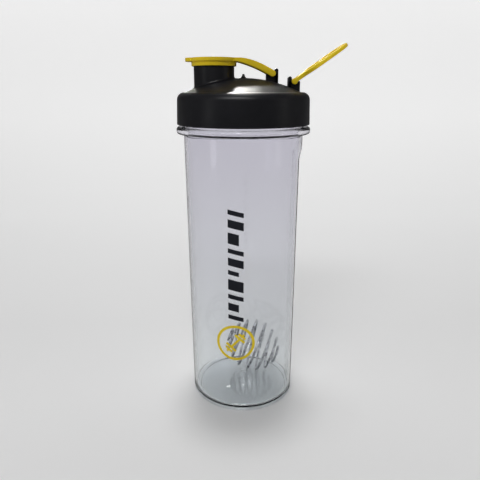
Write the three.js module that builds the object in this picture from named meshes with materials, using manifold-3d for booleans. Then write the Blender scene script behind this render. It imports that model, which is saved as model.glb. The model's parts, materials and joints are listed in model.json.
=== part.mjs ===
// A protein shaker bottle: a clear cup, a screw lid with a round spout and its
// sealing ring, a flip cap over the spout, a folding carry loop and a wire
// whisk ball. Millimetres, +Z up. Pieces are drawn about the cup's own axis,
// with the spout at -X, and the last lines centre the whole on its base.

import * as THREE from 'three';
import { mergeVertices } from 'three/addons/utils/BufferGeometryUtils.js';
import Module from 'manifold-3d';

const wasm = await Module();
wasm.setup();

// ---------------------------------------------------------------- sizes

const GAP = 0.3; // between pieces that touch or seal

const cup = {
  radius: 41.5, // the round side under the bead
  taper: 1.8, // how much smaller the side is at the table
  height: 202.5, // from the table to the bead
  wall: 2.0,
  heel: 2.6, // rounding at the foot
  ringInner: 5.2, // from the side in to the inner edge of the standing ring
  ringHeight: 1.5, // the ring's inner step
  floorRise: 5.0, // the floor's underside at the middle
  floor: 2.2,
  beadHeight: 4.6,
  beadOverhang: 0.5, // past the lid's skirt
  neckStep: 0.5, // from the side in to the neck
  neckHeight: 16.4, // from the bead to the rim
};

const panel = { // the flat grip on the +X side
  depth: 3.0, // below the round side at its top edge
  below: 14.8, // its top edge, down from the bead
  slope: 4.9, // height of the slanted step above it
};

const thread = {
  pitch: 5.0,
  turns: 1.25,
  depth: 1.8, // how far a rib stands out
  root: 2.0, // a rib's height where it joins
  crest: 1.2, // and at its edge
  above: 5.9, // the cup's rib at its lower end, up from the bead
};

const lid = {
  above: 1.4, // its lower edge, up from the bead
  wall: 2.6,
  draft: 0.7, // how much smaller the skirt is at the shoulder
  shoulder: 1.3, // where the corner's rounding begins, up from the cup's rim
  corner: 5.0,
  crownIn: 6.7, // from the shoulder in to the dome's edge
  crown: 6.6, // the dome's edge, up from the rim
  domeRise: 8.9, // the dome's middle above its edge
  plate: 2.3, // thickness of the dome
  boreGap: 0.6, // between the cup's ribs and the lid's bore
  plugWall: 2.0,
  plugGap: 0.6, // between the inner ring and the cup's mouth
  plugDepth: 6.0, // how far the inner ring goes below the rim
  nubRadius: 1.7,
  nubHeight: 2.6,
};

const gasket = {
  thickness: 2.5,
  overhang: 0.9, // past the neck's outside
};

const spout = {
  radius: 13.7,
  wall: 1.8,
  fromEdge: 5.0, // from the dome's edge to the spout's outside
  height: 10.0, // above the dome's middle
};

const cap = {
  plate: 2.2,
  lift: 0.4, // between the spout's edge and the plate
  overhang: 1.05, // the plate past the skirt
  tabReach: 2.9, // the thumb tab past the plate
  tabWidth: 15.0,
  skirtGap: 0.5,
  skirtWall: 0.95,
  skirtDepth: 3.0,
  plugGap: 0.7,
  plugWall: 1.2,
  plugDepth: 2.5,
  armStart: 0.7, // where the flat top starts to curve down, past the plate's edge
  armDepth: 4.4,
  armWidth: 16.6,
};

const hinge = { // shared by the cap's and the loop's hinges
  blockWidth: 10.0,
  barrel: 2.0, // radius round the pin
  pin: 0.95,
  pinLength: 2.6,
  pinGap: 0.3,
  tineGap: 0.3,
  sink: 3.0, // how deep a block's foot goes into the dome
  fromEdge: 4.3, // from the dome's edge in to the loop's pin
  spacing: 14.9, // between the two pins
};

const loop = {
  thickness: 2.6,
  length: 41.2, // pin to outer tip
  width: 32.0,
  bar: 5.5,
  corner: 12.0, // rounding of the outer corners
  flare: 18.0, // from the pin, where the sides reach full width
  angle: 34.5, // degrees above the horizontal
  hubStart: 3.6, // where the solid bar begins, from the pin
  hubEnd: 9.5, // and where the finger hole begins
};

const whisk = {
  wire: 2.0,
  radius: 20.0, // of the widest turn's centreline
  halfLength: 21.5,
  turns: 8,
  side: 53.7, // where it lies, in degrees round the cup from +X
  wallGap: 1.7,
  floorGap: 0.3,
  axis: new THREE.Vector3(0.949, -0.159, -0.27).normalize(),
};

const ROUND = 48; // sides of the big rounds
const SPOUT_ROUND = 36; // sides of the spout and what closes it
const SMALL_ROUND = 20; // sides of pins and barrels

// ---------------------------------------------------------------- solids

/** A closed three.js geometry as a manifold solid. */
function solid(geometry) {
  const bare = geometry.clone();
  bare.deleteAttribute('normal');
  bare.deleteAttribute('uv');
  const merged = mergeVertices(bare, 1e-4);
  const index = merged.index.array;
  const kept = [];
  for (let i = 0; i < index.length; i += 3) {
    const [a, b, c] = [index[i], index[i + 1], index[i + 2]];
    if (a !== b && b !== c && c !== a) kept.push(a, b, c);
  }
  const vertProperties = new Float32Array(merged.attributes.position.array);
  const triVerts = new Uint32Array(kept);
  return new wasm.Manifold(new wasm.Mesh({ numProp: 3, vertProperties, triVerts }));
}

/** A named mesh of a manifold solid in one material. */
function piece(name, body, look) {
  const mesh = body.getMesh();
  const geometry = new THREE.BufferGeometry();
  geometry.setAttribute('position', new THREE.BufferAttribute(mesh.vertProperties, 3));
  geometry.setIndex(new THREE.BufferAttribute(mesh.triVerts, 1));
  geometry.computeVertexNormals();
  const made = new THREE.Mesh(geometry, new THREE.MeshStandardMaterial(look));
  made.name = name;
  return made;
}

/** A solid of revolution about Z from [radius, height] points, outer side going up. */
function turned(points, sides = ROUND) {
  const profile = points.map(([radius, height]) => new THREE.Vector2(radius, height));
  return solid(new THREE.LatheGeometry(profile, sides).rotateX(Math.PI / 2));
}

/** A closed ring of revolution: the profile is joined back to its first point. */
function turnedRing(points, sides = ROUND) {
  return turned([...points, points[0]], sides);
}

/** A vertical cylinder. */
function post(radius, bottom, top, x = 0, sides = ROUND) {
  const made = turned([[0, bottom], [radius, bottom], [radius, top], [0, top]], sides);
  return made.translate([x, 0, 0]);
}

/** A shape drawn in X and Z, extruded along Y and centred on the mid plane. */
function sideways(shape, width, curveSegments = 12) {
  const settings = { depth: width, bevelEnabled: false, curveSegments };
  const geometry = new THREE.ExtrudeGeometry(shape, settings).rotateX(Math.PI / 2);
  return solid(geometry.translate(0, width / 2, 0));
}

/** A shape drawn in X and Y, extruded upwards from a height. */
function upwards(shape, bottom, height, curveSegments = 12) {
  const settings = { depth: height, bevelEnabled: false, curveSegments };
  return solid(new THREE.ExtrudeGeometry(shape, settings).translate(0, 0, bottom));
}

/** A cylinder along Y about (x, z). */
function crossPin(radius, width, x, z) {
  const circle = new THREE.Shape();
  circle.absarc(x, z, radius, 0, 2 * Math.PI);
  return sideways(circle, width, SMALL_ROUND);
}

/** Points on an arc in the radius-height plane, both ends included; angles in degrees. */
function arc(centreRadius, centreHeight, radius, from, to, steps) {
  return Array.from({ length: steps + 1 }, (_, i) => {
    const angle = THREE.MathUtils.degToRad(from + ((to - from) * i) / steps);
    return [centreRadius + radius * Math.cos(angle), centreHeight + radius * Math.sin(angle)];
  });
}

/** A screw rib: a straight rib bent round Z, from its far end back, and raised by the pitch. */
function screwRib(rootRadius, crestRadius, start) {
  const rib = new THREE.Shape([
    new THREE.Vector2(rootRadius, -thread.root / 2),
    new THREE.Vector2(crestRadius, -thread.crest / 2),
    new THREE.Vector2(crestRadius, thread.crest / 2),
    new THREE.Vector2(rootRadius, thread.root / 2),
  ]);
  const sweep = thread.turns * 2 * Math.PI;
  const steps = Math.round(thread.turns * ROUND);
  const halfSide = Math.PI / ROUND; // its corners fall between those of the round it joins
  const settings = { depth: sweep, steps, bevelEnabled: false };
  const geometry = new THREE.ExtrudeGeometry(rib, settings);
  const place = geometry.attributes.position;
  for (let i = 0; i < place.count; i += 1) {
    const radius = place.getX(i);
    const angle = sweep - place.getZ(i) + halfSide;
    const height = start + place.getY(i) + (thread.pitch * angle) / (2 * Math.PI);
    place.setXYZ(i, radius * Math.cos(angle), radius * Math.sin(angle), height);
  }
  return solid(geometry);
}

// ---------------------------------------------------------------- places that several pieces share

const beadTop = cup.height + cup.beadHeight;
const rim = beadTop + cup.neckHeight;
const neckRadius = cup.radius - cup.neckStep;
const mouthRadius = neckRadius - cup.wall;

const lidBottom = beadTop + lid.above;
const lidBore = neckRadius + thread.depth + lid.boreGap;
const lidRadius = lidBore + lid.wall;
const beadRadius = lidRadius + cup.beadOverhang;
const shoulderRadius = lidRadius - lid.draft;
const crownRadius = shoulderRadius - lid.crownIn;
const domeEdge = rim + lid.crown;
const domeTop = domeEdge + lid.domeRise;

/** Height of the dome's outside at a distance from the axis. */
function domeHeight(radius) {
  return domeTop - lid.domeRise * (radius / crownRadius) ** 2;
}

const spoutX = spout.radius + spout.fromEdge - crownRadius;
const spoutTop = domeTop + spout.height;

const loopX = crownRadius - hinge.fromEdge;
const capX = loopX - hinge.spacing;
// Each hinge's pin, and its block's two sides, lip and finger measured from the pin.
const loopHinge = {
  x: loopX, z: domeHeight(loopX) + 4.8, left: -3.9, right: 3.9, lip: 0.15, finger: 3.2, fingerWidth: 2.1,
};
const capHinge = {
  x: capX, z: domeHeight(capX) + 5.0, left: -4.05, right: 4.0, lip: 0.5, finger: 3.2, fingerWidth: 2.3,
};

// ---------------------------------------------------------------- cup

/** Outer radius of the cup's straight side at a height. */
function sideRadius(height) {
  return cup.radius - cup.taper * (1 - height / cup.height);
}

const panelTop = cup.height - panel.below;
const panelFace = sideRadius(panelTop) - panel.depth; // distance of the flat from the axis
const ringInner = sideRadius(0) - cup.ringInner;
const insideFoot = sideRadius(0) - cup.wall;
const insideCorner = 4.0; // rounding between the floor and the side

/** Everything on the far side of the grip panel, with the panel moved in by an inset. */
function panelCutter(inset) {
  const reach = cup.radius + 2;
  const face = panelFace - inset;
  const rise = ((reach - face) * panel.slope) / panel.depth;
  const shape = new THREE.Shape([
    new THREE.Vector2(face, -1),
    new THREE.Vector2(reach, -1),
    new THREE.Vector2(reach, panelTop + rise),
    new THREE.Vector2(face, panelTop),
  ]);
  return sideways(shape, 2 * beadRadius);
}

/** Height of the pushed-up floor's underside at a share of the way out. */
function floorHeight(share) {
  return cup.ringHeight + (cup.floorRise - cup.ringHeight) * (1 - share * share);
}

/** The floor's points from the middle out to an edge, lifted by an amount. */
function domedFloor(lift, edge, steps) {
  return Array.from({ length: steps + 1 }, (_, i) => [(edge * i) / steps, floorHeight(i / steps) + lift]);
}

function makeCup() {
  const footRadius = sideRadius(cup.heel);
  const edge = cup.beadHeight / 2;
  const outer = turned([
    ...domedFloor(0, ringInner - 2, 5),
    [ringInner, 0],
    ...arc(footRadius - cup.heel, cup.heel, cup.heel, -90, 0, 4),
    [cup.radius, cup.height],
    [beadRadius - edge, cup.height],
    ...arc(beadRadius - edge, cup.height + edge, edge, -60, 60, 4),
    [beadRadius - edge, beadTop],
    [neckRadius, beadTop],
    [neckRadius, rim - 0.5],
    [neckRadius - 0.5, rim],
    [0, rim],
  ]);
  const inner = turned([
    ...domedFloor(cup.floor, insideFoot - insideCorner, 6),
    ...arc(insideFoot - insideCorner, floorHeight(1) + cup.floor + insideCorner, insideCorner, -70, 0, 4),
    [cup.radius - cup.wall, cup.height],
    [mouthRadius, cup.height + cup.wall],
    [mouthRadius, rim + 1],
    [0, rim + 1],
  ]);
  const shell = outer.subtract(panelCutter(0)).subtract(inner.subtract(panelCutter(cup.wall)));
  return shell.add(screwRib(neckRadius - 0.2, neckRadius + thread.depth, beadTop + thread.above));
}

// ---------------------------------------------------------------- lid and its ring

const plugOuter = mouthRadius - lid.plugGap;
const gasketInner = plugOuter + GAP;
const gasketOuter = neckRadius + gasket.overhang;
const gasketBottom = rim + GAP;
const gasketSeat = gasketBottom + gasket.thickness + GAP;

/** Dome points from the middle out to a radius, lowered by an amount. */
function dome(outTo, lowered, steps) {
  return Array.from({ length: steps + 1 }, (_, i) => {
    const radius = (outTo * i) / steps;
    return [radius, domeHeight(radius) - lowered];
  });
}

/** A hinge block: a lip in front, a barrel round the pin and a tall finger behind it. */
function hingeBlock(at, fingerOnRight) {
  const [left, right] = [at.x + at.left, at.x + at.right];
  const foot = domeHeight(right) - hinge.sink;
  const lipTop = at.z + at.lip;
  const tip = at.fingerWidth / 2;
  const [fingerX, fingerTop] = [fingerOnRight ? right - tip : left + tip, at.z + at.finger];
  const finger = new THREE.Shape();
  finger.moveTo(fingerX - tip, foot);
  finger.lineTo(fingerX + tip, foot);
  finger.lineTo(fingerX + tip, fingerTop - tip);
  finger.absarc(fingerX, fingerTop - tip, tip, 0, Math.PI);
  finger.lineTo(fingerX - tip, foot);
  const lip = new THREE.Shape([
    new THREE.Vector2(left, foot),
    new THREE.Vector2(right, foot),
    new THREE.Vector2(right, lipTop),
    new THREE.Vector2(left, lipTop),
  ]);
  const block = sideways(lip, hinge.blockWidth)
    .add(sideways(finger, hinge.blockWidth, 6))
    .add(crossPin(hinge.barrel, hinge.blockWidth, at.x, at.z));
  return block.subtract(crossPin(hinge.pin + hinge.pinGap, hinge.blockWidth + 2, at.x, at.z));
}

function makeLid() {
  const plugInner = plugOuter - lid.plugWall;
  const body = turned([
    ...dome(plugInner, lid.plate, 6),
    [plugInner, rim - lid.plugDepth],
    [plugOuter, rim - lid.plugDepth],
    [plugOuter, gasketSeat],
    [gasketOuter + GAP, gasketSeat],
    [gasketOuter + GAP, gasketBottom],
    [lidBore, gasketBottom - 1],
    [lidBore, lidBottom],
    [lidRadius, lidBottom],
    ...arc(shoulderRadius - lid.corner, rim + lid.shoulder, lid.corner, 0, 90, 5),
    ...dome(crownRadius, 0, 6).reverse(),
  ]);
  const spoutFoot = domeHeight(spout.radius - spoutX) - lid.plate / 2;
  const tube = post(spout.radius, spoutFoot, spoutTop, spoutX, SPOUT_ROUND);
  const bore = post(spout.radius - spout.wall, domeEdge - 8, spoutTop + 1, spoutX, SPOUT_ROUND);
  const nub = turned([
    [0, domeTop - 1],
    [lid.nubRadius, domeTop - 1],
    [lid.nubRadius / 3, domeTop + lid.nubHeight],
    [0, domeTop + lid.nubHeight],
  ], SMALL_ROUND);
  const ribStart = beadTop + thread.above - thread.pitch / 2;
  return body
    .add(tube)
    .add(hingeBlock(capHinge, true))
    .add(hingeBlock(loopHinge, false))
    .add(nub)
    .add(screwRib(lidBore + 0.2, neckRadius + lid.boreGap, ribStart))
    .subtract(bore);
}

function makeGasket() {
  return turnedRing([
    [gasketInner, gasketBottom],
    [gasketOuter, gasketBottom],
    [gasketOuter, gasketBottom + gasket.thickness],
    [gasketInner, gasketBottom + gasket.thickness],
  ]);
}

// ---------------------------------------------------------------- flip cap

const tineInner = hinge.blockWidth / 2 + hinge.tineGap;
const plateBottom = spoutTop + cap.lift;
const plateTop = plateBottom + cap.plate;
const skirtInner = spout.radius + cap.skirtGap;
const skirtOuter = skirtInner + cap.skirtWall;
const plateRadius = skirtOuter + cap.overhang;

/** Two stub pins pointing inwards from the tines. */
function stubPins(at) {
  const across = 2 * (tineInner + 0.5);
  const space = 2 * (tineInner - hinge.pinLength);
  return crossPin(hinge.pin, across, at.x, at.z).subtract(crossPin(2 * hinge.pin, space, at.x, at.z));
}

/** The arm's side outline: flat on top, then curving down to a round end at the pin. */
function armOutline(lowered) {
  const { x } = capHinge;
  const z = capHinge.z - lowered;
  const [top, under] = [plateTop - lowered, plateBottom - lowered - 0.2];
  const end = hinge.barrel + 0.1;
  const bend = spoutX + plateRadius + cap.armStart;
  const [leave, meet] = [THREE.MathUtils.degToRad(60), THREE.MathUtils.degToRad(-125)];
  const shape = new THREE.Shape();
  shape.moveTo(spoutX, top);
  shape.lineTo(bend, top);
  shape.quadraticCurveTo(bend + 0.42 * (x - bend), top, x + end * Math.cos(leave), z + end * Math.sin(leave));
  shape.absarc(x, z, end, leave, meet, true);
  shape.quadraticCurveTo(bend + 0.49 * (x - bend), z + cap.armDepth, bend - 1, under);
  shape.lineTo(spoutX, under);
  return shape;
}

/** The thumb tab with rounded corners, from the cap's middle outwards. */
function tabOutline() {
  const half = cap.tabWidth / 2;
  const round = cap.tabWidth / 3;
  const inner = spoutX - plateRadius - cap.tabReach + round;
  const shape = new THREE.Shape();
  shape.moveTo(spoutX, -half);
  shape.lineTo(spoutX, half);
  shape.lineTo(inner, half);
  shape.absarc(inner, half - round, round, Math.PI / 2, Math.PI);
  shape.absarc(inner, round - half, round, Math.PI, 1.5 * Math.PI);
  return shape;
}

/** A ring hanging under the cap's plate. */
function hangingRing(outer, wall, depth) {
  const ring = post(outer, plateBottom - depth, plateBottom + 0.5, spoutX, SPOUT_ROUND);
  return ring.subtract(post(outer - wall, plateBottom - depth - 1, plateBottom, spoutX, SPOUT_ROUND));
}

function makeFlipCap() {
  const disc = post(plateRadius, plateBottom, plateTop, spoutX, SPOUT_ROUND);
  const tab = upwards(tabOutline(), plateBottom, cap.plate, 6);
  const skirt = hangingRing(skirtOuter, cap.skirtWall, cap.skirtDepth);
  const plugRadius = spout.radius - spout.wall - cap.plugGap;
  const plug = hangingRing(plugRadius, cap.plugWall, cap.plugDepth);
  const clearBarrel = Math.hypot(capHinge.right, capHinge.finger) + 0.4;
  const underPlate = post(skirtInner, plateBottom - cap.skirtDepth - 1, plateBottom, spoutX, SPOUT_ROUND);
  const arm = sideways(armOutline(0), cap.armWidth)
    .subtract(sideways(armOutline(cap.plate), 2 * tineInner))
    .subtract(crossPin(clearBarrel, 2 * tineInner, capHinge.x, capHinge.z))
    .subtract(underPlate);
  return disc.add(tab).add(skirt).add(plug).add(arm).add(stubPins(capHinge));
}

// ---------------------------------------------------------------- carry loop

/** The loop's plan outline, from the tines out to the rounded tip. */
function loopOutline() {
  const side = loop.width / 2;
  const tine = cap.armWidth / 2;
  const shape = new THREE.Shape();
  shape.moveTo(0, -tine);
  shape.lineTo(loop.hubStart, -tine);
  shape.bezierCurveTo(loop.flare / 2, -tine, loop.flare / 2, -side, loop.flare, -side);
  shape.lineTo(loop.length - loop.corner, -side);
  shape.absarc(loop.length - loop.corner, loop.corner - side, loop.corner, -Math.PI / 2, 0);
  shape.absarc(loop.length - loop.corner, side - loop.corner, loop.corner, 0, Math.PI / 2);
  shape.lineTo(loop.flare, side);
  shape.bezierCurveTo(loop.flare / 2, side, loop.flare / 2, tine, loop.hubStart, tine);
  shape.lineTo(0, tine);
  return shape;
}

/** The finger hole's plan outline, a bar's width inside the loop's. */
function fingerHole() {
  const side = loop.width / 2 - loop.bar;
  const round = loop.corner - loop.bar;
  const [near, far] = [loop.hubEnd + round, loop.length - loop.corner];
  const hole = new THREE.Shape();
  hole.absarc(far, round - side, round, -Math.PI / 2, 0);
  hole.absarc(far, side - round, round, 0, Math.PI / 2);
  hole.absarc(near, side - round, round, Math.PI / 2, Math.PI);
  hole.absarc(near, round - side, round, Math.PI, 1.5 * Math.PI);
  return hole;
}

function makeCarryLoop() {
  const half = loop.thickness / 2;
  const slot = new THREE.Shape([
    new THREE.Vector2(-5, -tineInner),
    new THREE.Vector2(loop.hubStart, -tineInner),
    new THREE.Vector2(loop.hubStart, tineInner),
    new THREE.Vector2(-5, tineInner),
  ]);
  const flat = upwards(loopOutline(), -half, loop.thickness, 8)
    .subtract(upwards(fingerHole(), -half - 1, loop.thickness + 2, 6))
    .add(crossPin(hinge.barrel, cap.armWidth, 0, 0))
    .subtract(upwards(slot, -2 * half, 4 * half))
    .add(stubPins({ x: 0, z: 0 }));
  return flat.rotate([0, -loop.angle, 0]).translate([loopHinge.x, 0, loopHinge.z]);
}

// ---------------------------------------------------------------- whisk ball

const BALL_SWEEP = 0.94; // how near the wire's ends come to the ball's two poles

/** The wire's centreline: turns along the ball's axis, widest at the middle. */
class BallCoil extends THREE.Curve {
  getPoint(share, target = new THREE.Vector3()) {
    const along = 2 * share - 1;
    const reach = Math.sin((along * Math.PI * BALL_SWEEP) / 2);
    const radius = whisk.radius * Math.sqrt(1 - reach * reach);
    const angle = -along * whisk.turns * Math.PI;
    return target.set(radius * Math.cos(angle), radius * Math.sin(angle), reach * whisk.halfLength);
  }
}

/** How far the ball reaches from its middle in a direction. */
function ballReach(direction) {
  const along = whisk.axis.dot(direction);
  const across = whisk.radius * Math.sqrt(1 - along * along);
  return Math.hypot(whisk.halfLength * along, across) + whisk.wire / 2;
}

/** The ball's middle: beside the wall, with its lowest turn just over the floor. */
function ballCentre() {
  const side = THREE.MathUtils.degToRad(whisk.side);
  const outwards = new THREE.Vector3(Math.cos(side), Math.sin(side), 0);
  const out = insideFoot - whisk.wallGap - ballReach(outwards);
  const floor = floorHeight(out / (insideFoot - insideCorner)) + cup.floor;
  const up = new THREE.Vector3(0, 0, 1);
  return outwards.multiplyScalar(out).addScaledVector(up, floor + whisk.floorGap + ballReach(up));
}

function makeWhisk() {
  const section = new THREE.Shape();
  section.absarc(0, 0, whisk.wire / 2, 0, 2 * Math.PI);
  const settings = { steps: whisk.turns * 18, extrudePath: new BallCoil(), curveSegments: 3 };
  const geometry = new THREE.ExtrudeGeometry(section, settings);
  const turn = new THREE.Quaternion();
  turn.setFromUnitVectors(new THREE.Vector3(0, 0, 1), whisk.axis);
  geometry.applyQuaternion(turn);
  return solid(geometry.translate(...ballCentre()));
}

// ---------------------------------------------------------------- assembly

const black = { color: 0x1b1b1e, roughness: 0.42, metalness: 0 };
const yellow = { color: 0xe0c010, roughness: 0.38, metalness: 0 };
const clear = { color: 0xd4d5e2, roughness: 0.05, metalness: 0 };
const silicone = { color: 0xd8d8d4, roughness: 0.7, metalness: 0 };
const steel = { color: 0xb9bcc0, roughness: 0.25, metalness: 1 };

const bottle = new THREE.Group();
bottle.add(
  piece('cup', makeCup(), clear),
  piece('lid', makeLid(), black),
  piece('lid_gasket', makeGasket(), silicone),
  piece('flip_cap', makeFlipCap(), yellow),
  piece('carry_loop', makeCarryLoop(), yellow),
  piece('whisk_ball', makeWhisk(), steel),
);

const extent = new THREE.Box3().setFromObject(bottle, true);
const middle = extent.getCenter(new THREE.Vector3());
bottle.position.set(-middle.x, -middle.y, -extent.min.z);
bottle.updateMatrixWorld(true);

export default bottle;
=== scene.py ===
"""A protein shaker bottle: cup, screw lid, flip cap, carry loop, sealing ring and whisk ball.

Metres, +Z up, -Y towards the viewer. The spout is at -X and the carry loop at +X."""

import json
import math

import bmesh
import bpy
from mathutils import Matrix, Vector


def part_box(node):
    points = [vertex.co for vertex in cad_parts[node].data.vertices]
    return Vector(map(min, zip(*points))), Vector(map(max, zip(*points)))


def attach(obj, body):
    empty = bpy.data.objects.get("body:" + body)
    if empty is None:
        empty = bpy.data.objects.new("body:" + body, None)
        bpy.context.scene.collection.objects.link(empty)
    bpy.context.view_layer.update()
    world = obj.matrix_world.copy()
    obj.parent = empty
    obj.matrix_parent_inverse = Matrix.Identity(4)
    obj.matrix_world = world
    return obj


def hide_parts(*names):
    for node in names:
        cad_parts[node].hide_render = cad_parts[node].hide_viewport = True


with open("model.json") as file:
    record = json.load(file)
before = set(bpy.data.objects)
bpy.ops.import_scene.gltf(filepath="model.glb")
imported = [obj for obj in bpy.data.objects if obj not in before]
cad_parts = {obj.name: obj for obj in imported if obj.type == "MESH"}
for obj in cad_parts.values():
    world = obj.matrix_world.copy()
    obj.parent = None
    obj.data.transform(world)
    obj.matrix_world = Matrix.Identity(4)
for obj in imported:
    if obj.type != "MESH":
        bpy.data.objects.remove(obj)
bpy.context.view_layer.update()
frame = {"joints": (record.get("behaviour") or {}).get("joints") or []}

MM = 0.001
TAU = 2 * math.pi

# ---------------------------------------------------------------- places, from the frame

cup_low, cup_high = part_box("cup")
lid_low, lid_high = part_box("lid")
cap_low, cap_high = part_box("flip_cap")
ball_low, ball_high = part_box("whisk_ball")
ring_low, ring_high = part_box("lid_gasket")
joints = {joint["name"]: joint for joint in frame["joints"]}

AXIS = (cup_low[0] + cup_high[0]) / 2
BEAD_RADIUS = (cup_high[0] - cup_low[0]) / 2
RIM = cup_high[2]
LID_BOTTOM = lid_low[2]
LID_RADIUS = (lid_high[0] - lid_low[0]) / 2
SPOUT_TOP = lid_high[2]
CAP_TOP = cap_high[2]
PLATE_RADIUS = (cap_high[1] - cap_low[1]) / 2
CAP_PIN = Vector(joints["cap_hinge"]["pos_m"])
LOOP_PIN = Vector(joints["loop_hinge"]["pos_m"])
BALL_CENTRE = (Vector(ball_low) + Vector(ball_high)) / 2

# ---------------------------------------------------------------- sizes of the moulded details

CUP_WALL = 2.0 * MM
CUP_SIDE_TOP = 41.5 * MM
CUP_TAPER = 1.8 * MM
BEAD_HEIGHT = 4.6 * MM
BEAD_BOTTOM = RIM - 16.4 * MM - BEAD_HEIGHT
NECK_RADIUS = CUP_SIDE_TOP - 0.5 * MM
MOUTH_RADIUS = NECK_RADIUS - CUP_WALL
RING_INNER = 34.5 * MM
RING_STEP = 1.5 * MM
FLOOR_RISE = 5.0 * MM
FLOOR = 2.2 * MM
GATE_RADIUS = 5.0 * MM
GATE_EDGE = 0.4 * MM
PANEL_TOP = BEAD_BOTTOM - 14.8 * MM
PANEL_DEPTH = 3.0 * MM
PANEL_SLOPE = 4.9 * MM

THREAD_PITCH = 5.0 * MM
THREAD_TURNS = 1.25
THREAD_DEPTH = 1.8 * MM
THREAD_ROOT_HALF = 1.0 * MM
THREAD_CREST_HALF = 0.6 * MM
THREAD_SINK = 0.3 * MM
THREAD_START = BEAD_BOTTOM + BEAD_HEIGHT + 5.9 * MM

LID_WALL = 2.6 * MM
SHOULDER_RADIUS = LID_RADIUS - 0.7 * MM
CORNER = 5.0 * MM
CROWN_RADIUS = SHOULDER_RADIUS - 6.7 * MM
CROWN = RIM + 6.6 * MM
DOME_RISE = 8.9 * MM
DOME_TOP = CROWN + DOME_RISE
DOME_PLATE = 2.3 * MM
SPOUT_RADIUS = 13.7 * MM
SPOUT_WALL = 1.8 * MM
SPOUT_X = AXIS - 19.9 * MM
SPOUT_FILLET = 1.6 * MM
NUB_SINK = 1 * MM
NUB_HEIGHT = 2.6 * MM
BLOCK_WIDTH = 10.0 * MM
BLOCK_EDGE = 0.35 * MM
BLOCK_SINK = 2.2 * MM
BARREL = 2.0 * MM
FINGER_RISE = 3.2 * MM
PIN = 0.95 * MM
PIN_HOLE = 1.25 * MM

CAP_PLATE = 2.2 * MM
CAP_UNDER = CAP_TOP - CAP_PLATE
SKIRT_RADIUS = SPOUT_RADIUS + 1.45 * MM
SKIRT_WALL = 0.95 * MM
SKIRT_DEPTH = 3.0 * MM
PLUG_RADIUS = SPOUT_RADIUS - SPOUT_WALL - 0.7 * MM
PLUG_WALL = 1.2 * MM
PLUG_DEPTH = 2.5 * MM
ARM_HALF = 8.3 * MM
TINE_INNER = 5.3 * MM
TINE_END = 2.1 * MM
TAB_HALF = 7.5 * MM
ARM_EASE = 0.42

LOOP_ANGLE = math.radians(34.5)
LOOP_LENGTH = 41.2 * MM
LOOP_HALF = 16.0 * MM
LOOP_BAR = 5.5 * MM
LOOP_THICK = 2.6 * MM
LOOP_HUB = 3.6 * MM
LOOP_FLARE = 18.0 * MM
LOOP_CORNER = 12 * MM
LOOP_HOLE_START = 9.5 * MM
LOOP_HOLE_CORNER = 6 * MM

WIRE = 2.0 * MM
BALL_RADIUS = 20.0 * MM
BALL_HALF_LENGTH = 21.5 * MM
BALL_TURNS = 8
BALL_WOUND = 0.94
BALL_AXIS = Vector((0.949, -0.159, -0.27)).normalized()

BAR_SHORT, BAR_MIDDLE, BAR_TALL = 3.2, 5.6, 7.8
BAR_LEFT = -10.6 * MM
BAR_RIGHT = 0.2 * MM
BAR_BOTTOM = 75.5 * MM
BAR_SLANT = 2.4 * MM
BAR_GAP = 3.4 * MM
BAR_INSET = 3.2 * MM
BADGE_CENTRE = Vector((-5.6 * MM, 58.5 * MM))
BADGE_OUTER = 14.0
BADGE_INNER = 12.0
BADGE_TILT = math.radians(-42)
BADGE_CORNER = 0.4 * MM

FLOOR_LEVEL = -0.15 * MM
FLOOR_REACH = 4.0
BACKDROP_AT = 1.7
BACKDROP_TOP = 3.0
# Strength of the painted light: the backdrop's own emission, in place of a lamp lighting it
BACKDROP_PAINTED_GLOW = 0.70
CAMERA_DOWN = 17.64

# ---------------------------------------------------------------- mesh helpers


def finish_mesh(name, bm, material, smooth_under=35):
    """Makes a piece from a bmesh, smooth except along edges sharper than an angle in degrees."""
    limit = math.radians(smooth_under)
    for face in bm.faces:
        face.smooth = True
    for edge in bm.edges:
        edge.smooth = len(edge.link_faces) == 2 and edge.calc_face_angle(0) < limit
    mesh = bpy.data.meshes.new(name)
    bm.to_mesh(mesh)
    bm.free()
    mesh.materials.append(material)
    piece = bpy.data.objects.new(name, mesh)
    bpy.context.scene.collection.objects.link(piece)
    return piece


def rounded(corners, closed=True, steps=5):
    """A path of (a, b, radius) corners, each rounded by an arc of its radius, as 2-D points."""
    path = []
    count = len(corners)
    for i, (a, b, radius) in enumerate(corners):
        here = Vector((a, b))
        ends = not closed and i in (0, count - 1)
        if radius == 0 or ends:
            path.append(here)
            continue
        back = (Vector(corners[i - 1][:2]) - here).normalized()
        ahead = (Vector(corners[(i + 1) % count][:2]) - here).normalized()
        half = back.angle(ahead) / 2
        reach = radius / math.tan(half)
        centre = here + (back + ahead).normalized() * (radius / math.sin(half))
        start = here + back * reach - centre
        turn = start.angle_signed(here + ahead * reach - centre)
        for step in range(steps + 1):
            path.append(centre + Matrix.Rotation(-turn * step / steps, 2) @ start)
    return path


def divided(path, longest, closed=True):
    """The path with points added so that no stretch is longer than a length."""
    dense = []
    pairs = zip(path, path[1:] + path[:1] if closed else path[1:])
    for a, b in pairs:
        parts = max(1, math.ceil((b - a).length / longest))
        dense += [a.lerp(b, part / parts) for part in range(parts)]
    return dense if closed else dense + [path[-1]]


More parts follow.
